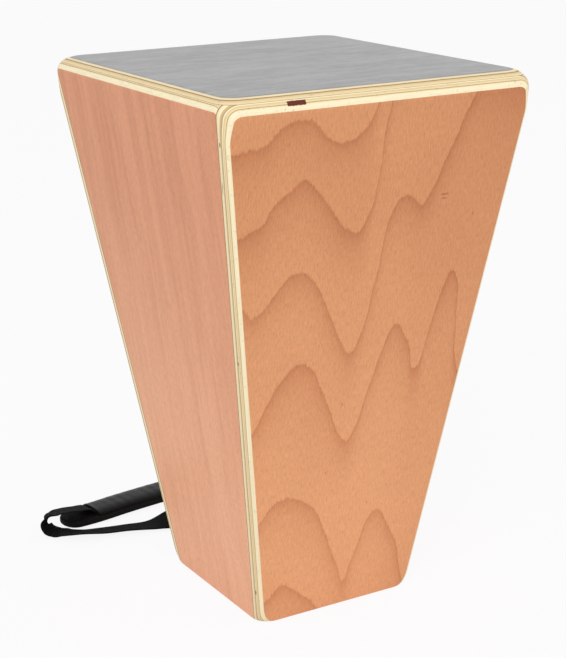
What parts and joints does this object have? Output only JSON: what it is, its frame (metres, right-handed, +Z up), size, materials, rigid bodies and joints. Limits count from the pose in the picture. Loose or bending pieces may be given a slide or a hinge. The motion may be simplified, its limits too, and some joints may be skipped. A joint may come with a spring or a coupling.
{
  "type": "conga cajon",
  "caption": "Tapered plywood box drum with an open foot, a dark playing plate and a padded webbing strap.",
  "frame": {"origin": "centre of the foot, on the floor", "axes": "+Z up towards the playing plate, -Y towards the front panel's face, +X to the front's right"},
  "size_m": [0.3184, 0.4073, 0.48],
  "materials": {
    "plywood": "satin clear lacquer on a salmon-brown beech-like veneer, pale plies at the edges",
    "dark_veneer": "semi-gloss lacquer on a dark stained veneer",
    "softwood": "planed, unfinished",
    "zinc_steel": "zinc plated",
    "black_steel": "black oxide",
    "nylon_webbing": "black woven webbing",
    "pad_cloth": "black woven cloth",
    "leatherette": "glossy black leatherette"
  },
  "bodies": {
    "root": {"front_panel": "plywood", "back_panel": "plywood", "left_panel": "plywood", "right_panel": "plywood", "top_panel": "dark_veneer", "corner_batten_front_left": "softwood", "corner_batten_front_right": "softwood", "corner_batten_back_left": "softwood", "corner_batten_back_right": "softwood", "top_rail_front": "softwood", "top_rail_back": "softwood", "top_rail_left": "softwood", "top_rail_right": "softwood", "tee_nut_left": "zinc_steel", "tee_nut_right": "zinc_steel", "strap_bolt_left": "black_steel", "strap_bolt_right": "black_steel", "strap_washer_left": "black_steel", "strap_washer_right": "black_steel", "strap_webbing": "nylon_webbing", "pad_base": "pad_cloth", "pad_sleeve": "leatherette"}
  },
  "joints": []
}
